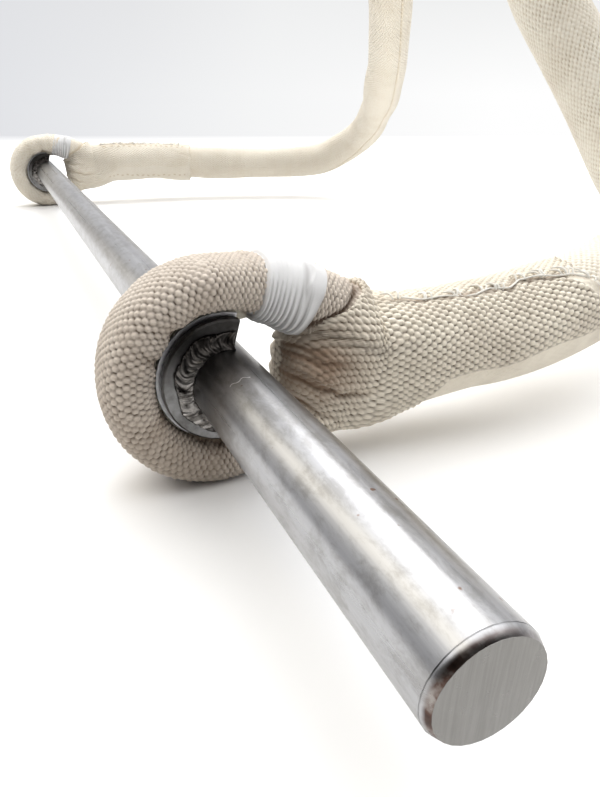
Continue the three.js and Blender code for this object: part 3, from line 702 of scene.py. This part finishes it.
UPPER_LEG = [(2.43, .30), (1.93, .64), (1.38, .85), (.75, .96)]
LOWER_LEG = [(.75, -.96), (1.34, -.88), (1.88, -.81), (2.43, -.75)]


def heart_points(side, tilt):
    """Control points of the eye's heart: the upper leg, a bend of groove radius and the lower leg."""
    angle = np.radians(np.linspace(85, 275, 12))
    shares = np.vstack([UPPER_LEG, np.stack([np.cos(angle), np.sin(angle)], 1), LOWER_LEG])
    return in_plane(side, tilt, *(shares * GROOVE).T)


def eye_heart(side, tilt):
    """Heart of the eye every 0.2 mm: its index, counted in control points, its run and its place."""
    points = heart_points(side, tilt)
    path = spline(points, .0002)
    run = arc_length(path)
    near = [np.argmin(np.linalg.norm(path - p, axis=1)) for p in points]
    return np.interp(run, run[near], np.arange(len(points))), run, path


def eye_section(index):
    """Half width, outer and inner reach, half slit and roundness of the sleeve, smoothed along the eye."""
    return [smoothed(np.interp(index, EYE_TABLE[:, 0], EYE_TABLE[:, k]), 81) for k in range(1, 6)]


def oval(angle, half, high, low, power):
    """Rounded square: half wide each way, from low to high, as superellipse of the given power."""
    c, s = np.cos(angle), np.sin(angle)
    over = (high + low) / 2 + (high - low) / 2 * np.sign(s) * np.abs(s) ** (2 / power)
    return half * np.sign(c) * np.abs(c) ** (2 / power), over


def cross_directions(path):
    """Bar's direction and the outward direction of an eye's heart."""
    along = directed(np.gradient(path, axis=0))
    axis = np.broadcast_to([1.0, 0.0, 0.0], along.shape)
    return axis, np.cross(along, axis)


def eye_sleeve(name, side, tilt, seed, columns, step, nub_depth, material):
    """C-shaped section carried along the heart. Its outside is evened to equal steps, lifted by nubs and
    slow waves, and pressed in by puckers that fan out from the thimble."""
    rng = np.random.default_rng(seed)
    index, run, path = eye_heart(side, tilt)
    keep = np.linspace(0, len(path) - 1, int(run[-1] / step) + 1).astype(int)
    index, run, path, half, high, low, slit, power = [v[keep] for v in (index, run, path, *eye_section(index))]
    axis, outer = cross_directions(path)
    low = np.maximum(low, FLANGE_CLEAR - np.linalg.norm(path - (side * ROPE_PLANE, BAR_Y, BAR_Z), axis=1))
    slit = np.maximum(slit, np.sqrt(np.clip(BORE ** 2 - np.clip(-low - .0008, 0, BORE) ** 2, 0, None)))
    lip = np.arcsin(clamp((slit / half) ** (power / 2)))
    rows = []
    for k in range(len(path)):
        angle = -math.pi / 2 + lip[k] + (TURN - 2 * lip[k]) * np.linspace(0, 1, 900)
        across, over = oval(angle, half[k], high[k], low[k], power[k])
        length = np.r_[0, np.cumsum(np.hypot(np.diff(across), np.diff(over)))]
        even = np.linspace(0, length[-1], columns)
        rows.append((np.interp(even, length, across), np.interp(even, length, over), even - length[-1] / 2))
    across, over, round_ = [np.array([r[k] for r in rows]) for k in range(3)]
    skin = path[:, None] + across[..., None] * axis[:, None] + over[..., None] * outer[:, None]
    normal = np.cross(np.gradient(skin, axis=1), np.gradient(skin, axis=0))
    normal /= np.maximum(np.linalg.norm(normal, axis=2), 1e-12)[..., None]

    run = run[:, None]
    a, b = round_ / EYE_CELL, run / EYE_ROW
    edge = 1 - np.abs(round_) / np.abs(round_).max(axis=1)[:, None]
    fade = clamp(edge / .06)
    bound = run - np.interp(TAPE_START, index, run[:, 0])
    taped = clamp((bound - TAPE_SLANT) / .002) * clamp((TAPE_LENGTH - bound) / .002)
    nub = nub_height(a, b, seed) * (1 - taped)
    press, shade = np.zeros_like(a), np.zeros_like(a)
    for _ in range(26):
        where, spread, depth = rng.uniform(0, run[-1, 0]), rng.uniform(.0014, .0032), rng.uniform(.0008, .0028)
        which, lean = rng.choice([-1, 1]), rng.uniform(-.35, .35)
        crease = bell(run + lean * np.abs(round_) - where, spread) * np.exp(-edge / rng.uniform(.10, .3))
        crease *= clamp(which * np.sign(round_))
        press -= depth * crease * (1 if side > 0 else 1.5)
        shade += 1.1 * crease
    for _ in range(8):
        rate, about, phase = rng.uniform(15, 80), rng.uniform(-90, 90), rng.uniform(0, 6.28)
        press += .00042 * np.sin(rate * run + about * round_ + phase)
    out, over = from_bar(skin, tilt)
    from_lip = over - table(out, UPPER_CUT) - .0024
    under_lip = (index < 2.9)[:, None] * bell(from_lip, .0013 + .0014 * bell(out - .030, .005))
    press -= .0013 * under_lip
    for tape_edge in (.5 * TAPE_SLANT - .002, TAPE_LENGTH + .5 * TAPE_SLANT + .0012):
        press += .0005 * bell(bound - tape_edge, .0018)
    skin = skin + ((nub_depth * nub + press) * fade)[..., None] * normal
    skin[..., 2] = np.maximum(skin[..., 2], FLOOR_GAP)

    inner_count = columns // 8
    slit_angle = np.arcsin(clamp(slit / BORE))[:, None]
    sweep = (-math.pi / 2 + slit_angle) + (TURN - 2 * slit_angle) * np.linspace(1, 0, inner_count)[None]
    grid = np.concatenate([skin, rings(path, BORE, sweep, axis, outer)], axis=1)
    last = columns + inner_count - 1
    caps, j = [], last
    for i in range(columns - 1):
        caps.append([i, i + 1, j])
        while j > columns and (last - j + 1) / (inner_count - 1) <= (i + 1.5) / (columns - 1):
            caps.append([i + 1, j - 1, j])
            j -= 1
    uv = np.stack(np.broadcast_arrays(np.pad(a, ((0, 0), (0, inner_count + 1)), mode="edge"), b), -1)
    index = index[:, None]
    # Painted shade and dirt along the slit's edges round the thimble, beside the discs.
    rim_shade_and_dirt = np.exp(-edge / .07) * ((index > 3) & (index < 16))
    # Darker towards the bottom of the near eye.
    low_front = clamp((.030 - over) / .040) * (.28 if side > 0 else 0)
    # Painted shade where the leg goes in under the cover.
    dirt_and_shade = np.clip(.6 * shade + .5 * rim_shade_and_dirt + low_front + .25 * clamp((1.5 - index) / .5), 0, .9)
    # Painted contact shade: below the cover's lip the tone falls to the pit shade.
    nub = (.12 + .88 * nub * fade) * (1 - .95 * under_lip)
    # The bore's inside is painted dark as shade.
    bore_shade = np.full((len(path), inner_count), .2)
    values = {key: np.concatenate([data, bore_shade], axis=1) for key, data in (("nub", nub), ("dirt_and_shade", dirt_and_shade))}
    return surface(name, grid, material, values, uv, caps=caps)


# Tape: one strip of white elastic bandage wound about nine times round the upper leg of the eye,
# each turn lapping the last, so that its edges stand up as ribs. A loose flap lies over the first turns.
TAPE_TURNS = 9
white_tape = yarn_material("white_tape", (.80, .80, .81), (.38, .365, .36), .7, .85, (2.2, 2.0), (1.0, 3.5, 1),
                           (.4, .0005))


def tape_winding(name, side, tilt):
    """Band round the leg: the leg's oval, lifted by a rib at each lap of the helix. The ribs stand up
    on the inside of the bend and lie flat on its outside."""
    index, run, path = eye_heart(side, tilt)
    section = eye_section(index)
    begin = np.interp(TAPE_START, index, run)
    keep = np.flatnonzero((run >= begin - .0005) & (run <= begin + TAPE_LENGTH))
    fine = np.linspace(run[keep[0]], run[keep[-1]], 190)[:, None]
    turn = full_turn(128)
    shift = fine + TAPE_SLANT * (.5 - .5 * np.sin(turn))
    path, axis, outer = [at_run(shift, run, v) for v in (path, *cross_directions(path))]
    half, high, low, _, power = [np.interp(shift, run, v) for v in section]
    along = (fine - fine[0]) / TAPE_LENGTH
    coil = along ** 1.5 * TAPE_TURNS - turn / TURN + .12 * np.sin(2 * turn + 9 * along)
    tooth = coil - np.floor(coil)
    rib = np.minimum(tooth / .72, (1 - tooth) / .28) ** .8
    deep = .10 + .90 * clamp(.55 - 1.1 * np.sin(turn - .15))
    flap = bell(turn - .75, .55, 4) / (1 + np.exp((along - .26 - .05 * np.sin(5 * turn)) / .012))
    lift = .0009 + .00085 * rib * deep + .0011 * flap + .0002 * np.sin(3 * turn + 14 * along)
    lift = lift * clamp((1 - along) / .05) ** .5 - .0005 * clamp((along - .97) / .03)

    def lifted(by):
        """The leg's oval, this much larger."""
        across, over = oval(turn, half + by, high + by, low - by, power)
        return path + across[..., None] * axis + over[..., None] * outer

    grid = np.vstack([lifted(lift), lifted(-.0006)[[-1, -60, -120, 0]]])
    uv = np.stack(np.broadcast_arrays(np.pad(along * 24, ((0, 4), (0, 0))), np.linspace(0, 90, 129)[None]), -1)
    shadow = bell(along - .33, .06) * bell(turn - .75, .6, 4)
    # Painted shade: dark where each turn laps the last, with the painted shadow of the flap.
    nub = .15 + .85 * (rib * deep + .8 * (1 - deep)) - .45 * shadow
    return surface(name, grid, white_tape, {"nub": clamp(np.pad(nub, ((0, 4), (0, 0))))}, uv, loop=True)


# Cores: the three-strand rope itself, spliced back beside itself inside the cover.
# It lies in the thimble's groove and fills the padded sleeve's bore.
SPLICE_START, SPLICE_END = .0316, .122
THROAT_APART, SPLICE_APART = .01255, .0067


def core_path(side, tilt, line):
    """From the splice's end along the upper part, round the thimble and back along the lower part."""
    at = np.arange(SPLICE_END, SPLICE_START + 2 * ROPE_RADIUS, -2 * ROPE_RADIUS)
    run = arc_length(line)
    middle = at_run(at, run, line)
    ahead = directed(at_run(at + .001, run, line) - middle)
    over = np.cross(directed(np.cross(ahead, [0.0, 0.0, 1.0])), ahead)
    share = clamp((at - SPLICE_START) / (TUBE_FROM - SPLICE_START))
    apart = (THROAT_APART + share ** 2 * (3 - 2 * share) * (SPLICE_APART - THROAT_APART))[:, None]
    points = [middle + apart * over, heart_points(side, tilt), (middle - apart * over)[::-1]]
    return spline(np.vstack(points), .0014)


eye_canvas = canvas_material("eye_canvas", (.78, .70, .62), (.10, .07, .05), (.33, .25, .185), .3)
for name, side, tilt, line, columns, step, depth, seed, canvas in (
        ("near", 1, NEAR_TILT, near_line, 164, .00038, .00125, 21, eye_canvas),
        ("far", -1, FAR_TILT, far_line, 120, .0012, .0004, 22, far_canvas)):
    sleeve = eye_sleeve(f"{name}_eye_canvas", side, tilt, seed, columns, step, depth, canvas)
    tape = tape_winding(f"{name}_tape_winding", side, tilt)
    core = laid_rope(f"{name}_core_rope", core_path(side, tilt, line), 30)
    for piece, node, slot in ((sleeve, "eye_sleeve", "cover_cotton"), (tape, "eye_tape", "tape_white"),
                              (core, "core", "core_rope")):
        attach(piece, f"{name}_rope_set")
        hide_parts(f"{name}_{node}")


# Bar and end plugs: cold-drawn steel tube, polished along its length by use, with ground weld at each end.
# The weld at the end is ground to a bevel that keeps a brown heat tint, and the face has grinding marks.
WELD_FOOT = .0134
BEVEL, BEVEL_END, FACE = .4981, .4989, .49995
SCRATCH, SCRATCH_HALF_LENGTH, SCRATCH_HALF_WIDTH = (.3895, -.08578, .05047), .0034, .00014


def bar_material():
    """Drawn steel: long fine streaks, cloudy stains, a few rust specks, one pale scratch, steel darkened by
    heat beside the discs, a brown bevel and a ground face."""
    material, nodes, shader = start_material("drawn_steel", (.56, .56, .57), .3, 1.0)
    x, y, _ = nodes.split(nodes.place())
    from_middle = nodes.maths("ABSOLUTE", x)
    streak = nodes.noise(1.0, 5.0, .65, stretch=(3.0, 420.0, 420.0))
    cloud = nodes.noise(1.0, 4.0, stretch=(9.0, 60.0, 60.0))
    steel = nodes.ramp(nodes.scaled(streak, .5, nodes.times(cloud, .5)),
                       (.3, (.29, .29, .30)), (.7, (.48, .48, .49)))
    steel = nodes.mix(nodes.ramp(nodes.noise(330.0, 1.0), (.75, 0.0), (.80, 1.0)), steel, (.20, .12, .09))
    stain = nodes.noise(1.0, 8.0, .74, .25, stretch=(90.0, 200.0, 200.0))
    steel = nodes.mix(1.0, steel, nodes.ramp(stain, (.40, (.77, .76, .74)), (.54, 1.0)), blend="MULTIPLY")
    from_rope = nodes.maths("ABSOLUTE", nodes.maths("SUBTRACT", from_middle, ROPE_PLANE))
    from_disc = nodes.scaled(nodes.maths("SUBTRACT", from_rope, WELD_FOOT), 14.0, -.06)
    heat = nodes.ramp(nodes.scaled(cloud, .16, from_disc), (0.0, (.16, .15, .15)), (.12, (.32, .31, .31)),
                      (.45, .78), (1.0, 1.0))
    steel = nodes.mix(1.0, steel, heat, blend="MULTIPLY")
    burnt = nodes.ramp(nodes.noise(260.0, 4.0), (.3, (.03, .022, .02)), (.5, (.09, .055, .045)),
                       (.66, (.27, .25, .235)))
    # The bevel's brown is full on the side towards -Y and falls to a quarter of it towards +Y.
    facing_left = nodes.remap(nodes.scaled(y, -55.0, .55 + 55 * BAR_Y), to_low=.25)
    steel = nodes.mix(nodes.times(nodes.remap(from_middle, BEVEL, BEVEL_END), facing_left), steel, burnt)
    face = nodes.maths("GREATER_THAN", from_middle, FACE)
    marks = nodes.noise(1.0, 3.0, stretch=(1, 1500, 90), spin=math.radians(60))
    steel = nodes.mix(face, steel, nodes.ramp(marks, (.35, (.172, .167, .158)), (.65, (.200, .195, .185))))

    def vector(operation, a, b=None):
        return nodes.add("ShaderNodeVectorMath", {0: a, 1: b}, operation=operation).outputs

    from_scratch = vector("SUBTRACT", nodes.place(), SCRATCH)["Vector"]

    def toward(direction):
        """How far a point lies from the scratch's start in one direction."""
        return vector("DOT_PRODUCT", from_scratch, direction)["Value"]

    def within(value, half):
        return nodes.maths("LESS_THAN", nodes.maths("ABSOLUTE", value), half)

    around = toward((-.069, .941, .331))
    wave = nodes.times(nodes.maths("SINE", nodes.times(around, 1700.0)), .0006)
    thin = within(nodes.maths("ADD", toward((.998, .065, .023)), wave), SCRATCH_HALF_WIDTH)
    short = within(nodes.maths("SUBTRACT", around, SCRATCH_HALF_LENGTH), SCRATCH_HALF_LENGTH)
    outside = nodes.maths("GREATER_THAN", toward((0.0, -.338, .941)), -.003)
    steel = nodes.mix(nodes.times(thin, nodes.times(short, outside)), steel, (.72, .72, .74))

    beyond = nodes.maths("MAXIMUM", nodes.maths("SUBTRACT", from_middle, .4976), 0.0)
    _, radial_y, radial_z = nodes.split(vector("SUBTRACT", nodes.place(), (0, BAR_Y, BAR_Z))["Vector"])
    bent = nodes.add("ShaderNodeCombineXYZ", {
        "X": nodes.times(nodes.maths("SIGN", x), nodes.times(beyond, 6.0)), "Y": radial_y, "Z": radial_z})
    flat_face = nodes.add("ShaderNodeNewGeometry").outputs["True Normal"]
    normal = nodes.mix(face, vector("NORMALIZE", bent.outputs["Vector"])["Vector"], flat_face, "VECTOR")
    relief = nodes.mix(face, streak, marks, "FLOAT")
    nodes.feed(shader, {"Base Color": steel, "Roughness": nodes.remap(streak, to_low=.20, to_high=.40),
                        "Normal": nodes.bump(relief, .25, .0001, normal)})
    return material


def dull_steel(name, low, high, roughness, scale, soot_and_shade=False):
    """Dull steel with mottled tone and fine pitting. Soot and painted shade blacken a piece above the bar's
    middle.
    """
    material, nodes, shader = start_material(name, high, roughness, 1.0)
    cloud = nodes.noise(scale, 5.0, .6)
    tone = nodes.ramp(cloud, (.36, low), (.66, high))
    if soot_and_shade:
        # Soot with painted shade: darker towards the top, where the eye's canvas hangs over.
        level = nodes.scaled(nodes.split(nodes.place())[2], 33.0, -.25 - 33.0 * (BAR_Z - .010))
        soot_and_shade_tone = nodes.ramp(nodes.scaled(cloud, .5, level), (.3, 1.0), (.75, (.22, .21, .205)))
        tone = nodes.mix(1.0, tone, soot_and_shade_tone, blend="MULTIPLY")
    nodes.feed(shader, {"Base Color": tone, "Normal": nodes.bump(cloud, .35, .0003)})
    return material


def dress(node, material):
    """Gives a CAD node its finish."""
    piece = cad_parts[node]
    if not piece.material_slots:
        piece.data.materials.append(material)
    for slot_ in piece.material_slots:
        slot_.material = material


drawn_steel = bar_material()
for node in ("bar_tube", "near_end_plug", "far_end_plug"):
    dress(node, drawn_steel)


# Discs, thimbles and welds: two turned discs stand on either side of each eye, welded to the bar outside it.
# The weld was laid by hand in overlapping ripples. The thimbles are pressed steel rings.
disc_steel = dull_steel("disc_steel", (.13, .127, .123), (.27, .27, .27), .36, 160.0, True)
thimble_steel = dull_steel("thimble_steel", (.30, .30, .31), (.50, .50, .51), .42, 120.0)
weld_metal = dull_steel("weld_metal", (.015, .013, .012), (.42, .40, .38), .33, 210.0, True)
WELD_INNER, WELD_LEG, WELD_TOE = .0123, .0058, .0030
WELD_FROM, WELD_TO = math.radians(78), math.radians(282)


def weld_bead(name, plane, facing, seed):
    """Open bead: a corner section whose leg swells and shrinks, crossed by crescent ripples of uneven pitch,
    with a blob here and there."""
    rng = np.random.default_rng(seed)
    angle = np.linspace(WELD_FROM, WELD_TO, 300)[:, None]
    share = np.linspace(0, 1, 15)[None, :]
    swell = 1 + .09 * np.sin(3 * angle + rng.uniform(0, 6)) + .07 * np.sin(8 * angle + rng.uniform(0, 6))
    bow = np.sin(math.pi * share)
    ripple = np.zeros((len(angle), share.shape[1]))
    middle = WELD_FROM
    while middle < WELD_TO:
        spread = math.radians(rng.uniform(2, 8))
        bent = angle - middle - math.radians(rng.uniform(2, 16)) * bow
        lump = clamp(1 - (bent / spread) ** 2 - ((share - rng.uniform(.3, .7)) / .6) ** 2) ** .5
        ripple = np.maximum(ripple, rng.uniform(.0003, .0013) * lump)
        middle += spread * rng.uniform(.5, 1.6)
    leg = WELD_LEG * swell
    x = WELD_FOOT + WELD_TOE * swell * (1 - share) - .05 * leg * bow + ripple
    r = WELD_INNER + leg * share - .05 * leg * bow + ripple * .4
    corner = ((0, 0), (0, 1))
    x, r = np.pad(x, corner, constant_values=WELD_FOOT), np.pad(r, corner, constant_values=WELD_INNER)
    grid = np.stack([plane + facing * x, BAR_Y + r * np.cos(angle), BAR_Z + r * np.sin(angle)], -1)
    if facing < 0:
        grid = grid[:, ::-1]
    return surface(name, grid[::-1], weld_metal, {}, caps=[range(16)])


for name, sign in (("near", 1), ("far", -1)):
    for k, (where, facing) in enumerate((("outer", sign), ("inner", -sign))):
        bead = weld_bead(f"{name}_{where}_weld_bead", sign * ROPE_PLANE, facing, 31 + k + sign)
        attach(bead, "bar")
        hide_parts(f"{name}_{where}_weld")
        dress(f"{name}_{where}_disc", disc_steel)
    dress(f"{name}_thimble", thimble_steel)
    dress(f"{name}_top_thimble", thimble_steel)


# Stage: a white table that runs up into a pale wall, inside a lit tent. A strip of light and a soft lamp stand
# high at the back, the roof glows, and the side where the camera is held is open to a dim room.
AWAY, SIDEWAYS = (-.92, .37), (.374, .927)
PAPER = (.97, .97, .975)
WALL_STOPS = ((.15, (.75, .76, .79)), (.5, (.91, .915, .92)), (.8, 1.0))


def lean(nodes, x, y, direction):
    """Distance in one direction of the floor's plane."""
    return nodes.scaled(x, direction[0], nodes.times(y, direction[1]))


floor_mesh = bpy.data.meshes.new("floor")
floor_mesh.from_pydata([(-9, -6, 0), (4, -6, 0), (4, 6, 0), (-9, 6, 0)], [], [(0, 1, 2, 3)])
floor = bpy.data.objects.new("floor", floor_mesh)
bpy.context.collection.objects.link(floor)
floor_white, nodes, shader = start_material("floor_white", PAPER, .8)
x, y, _ = nodes.split(nodes.place())
away, sideways = lean(nodes, x, y, AWAY), lean(nodes, x, y, SIDEWAYS)
spread = nodes.maths("DIVIDE", nodes.maths("SUBTRACT", sideways, .078),
                     nodes.maths("MAXIMUM", nodes.scaled(away, 1.08, .61), .5))
# The far floor glows as the wall: painted shade, grey at one side to white, on a glowing backdrop.
wall_tone = nodes.ramp(nodes.scaled(spread, .93, .52), *WALL_STOPS)
painted = nodes.add("ShaderNodeEmission", {"Color": wall_tone}).outputs["Emission"]
rise = nodes.ramp(nodes.times(away, .25), (.23, 0.0), (.45, 1.0))
diffuse_ray = nodes.add("ShaderNodeLightPath").outputs["Is Diffuse Ray"]
nodes.feed(shader, {"Base Color": nodes.ramp(diffuse_ray, (0.0, PAPER), (1.0, (.75, .745, .73))),
                    "Specular IOR Level": .15})
both = nodes.add("ShaderNodeMixShader", {0: rise, 1: shader.outputs["BSDF"], 2: painted}).outputs["Shader"]
nodes.feed(floor_white.node_tree.nodes["Material Output"], {"Surface": both})
floor_mesh.materials.append(floor_white)

world = bpy.data.worlds.new("studio")
bpy.context.scene.world = world
world.use_nodes = True
sky = Nodes(world.node_tree)
x, y, z = sky.split(sky.place("Generated"))
half_y = sky.scaled(y, .5, .5)
height = sky.ramp(z, (0.0, (.25, .25, .26)), (.06, (.30, .30, .31)), (.30, (.31, .31, .32)),
                  (.38, .55), (.58, .55), (.68, 1.0), (1.0, 1.0))
bands = sky.ramp(half_y, (.22, (.34, .34, .36)), (.28, (.93, .93, .97)), (.345, (1.0, .99, .96)),
                 (.37, (.36, .36, .365)), (.42, (.36, .36, .365)), (.46, .44), (.62, .44), (.75, .50))
pattern = sky.mix(sky.ramp(z, (.55, 0.0), (.68, 1.0)), bands, .49, "FLOAT")
behind = sky.scaled(z, .55, lean(sky, x, y, AWAY))
lit = sky.ramp(sky.scaled(behind, .5, .5), (.42, (.04, .04, .045)), (.64, 1.0))
warm = sky.ramp(half_y, (.20, 1.0), (.27, (1, .955, .85)), (.37, (1, .955, .85)), (.43, 1.0))
studio = world.node_tree.nodes["Background"]
sky.feed(studio, {"Color": sky.mix(1.0, height, warm, blend="MULTIPLY"),
                  "Strength": sky.times(sky.times(pattern, 5.2), lit)})
sideways = lean(sky, x, y, SIDEWAYS)
near_wall = sky.ramp(sky.scaled(sideways, .93, .52), *WALL_STOPS)
wall = sky.ramp(sky.scaled(sideways, 1.1, .5), (0.0, (.73, .74, .77)), (.3, (.79, .795, .81)),
                (.5, (.865, .87, .875)), (1.0, (.88, .885, .88)))
upward = sky.ramp(z, (0.0, 0.0), (.11, 1.0))
seen = sky.add("ShaderNodeBackground", {"Color": sky.mix(upward, near_wall, wall)})
camera_ray = sky.add("ShaderNodeLightPath").outputs["Is Camera Ray"]
chosen = sky.add("ShaderNodeMixShader", {
    0: camera_ray, 1: studio.outputs["Background"], 2: seen.outputs["Background"]})
sky.feed(world.node_tree.nodes["World Output"], {"Surface": chosen.outputs["Shader"]})

lamp = bpy.data.lights.new("back_box", "AREA")
lamp.shape = "SQUARE"
lamp.size = .9
lamp.energy = 7
holder = bpy.data.objects.new("back_box", lamp)
bpy.context.collection.objects.link(holder)
holder.location = (-.9, .5, 1.5)
holder.rotation_euler = (Vector((.1, 0.0, 0.0)) - holder.location).to_track_quat("-Z", "Y").to_euler()

bpy.context.scene.view_settings.view_transform = "Standard"
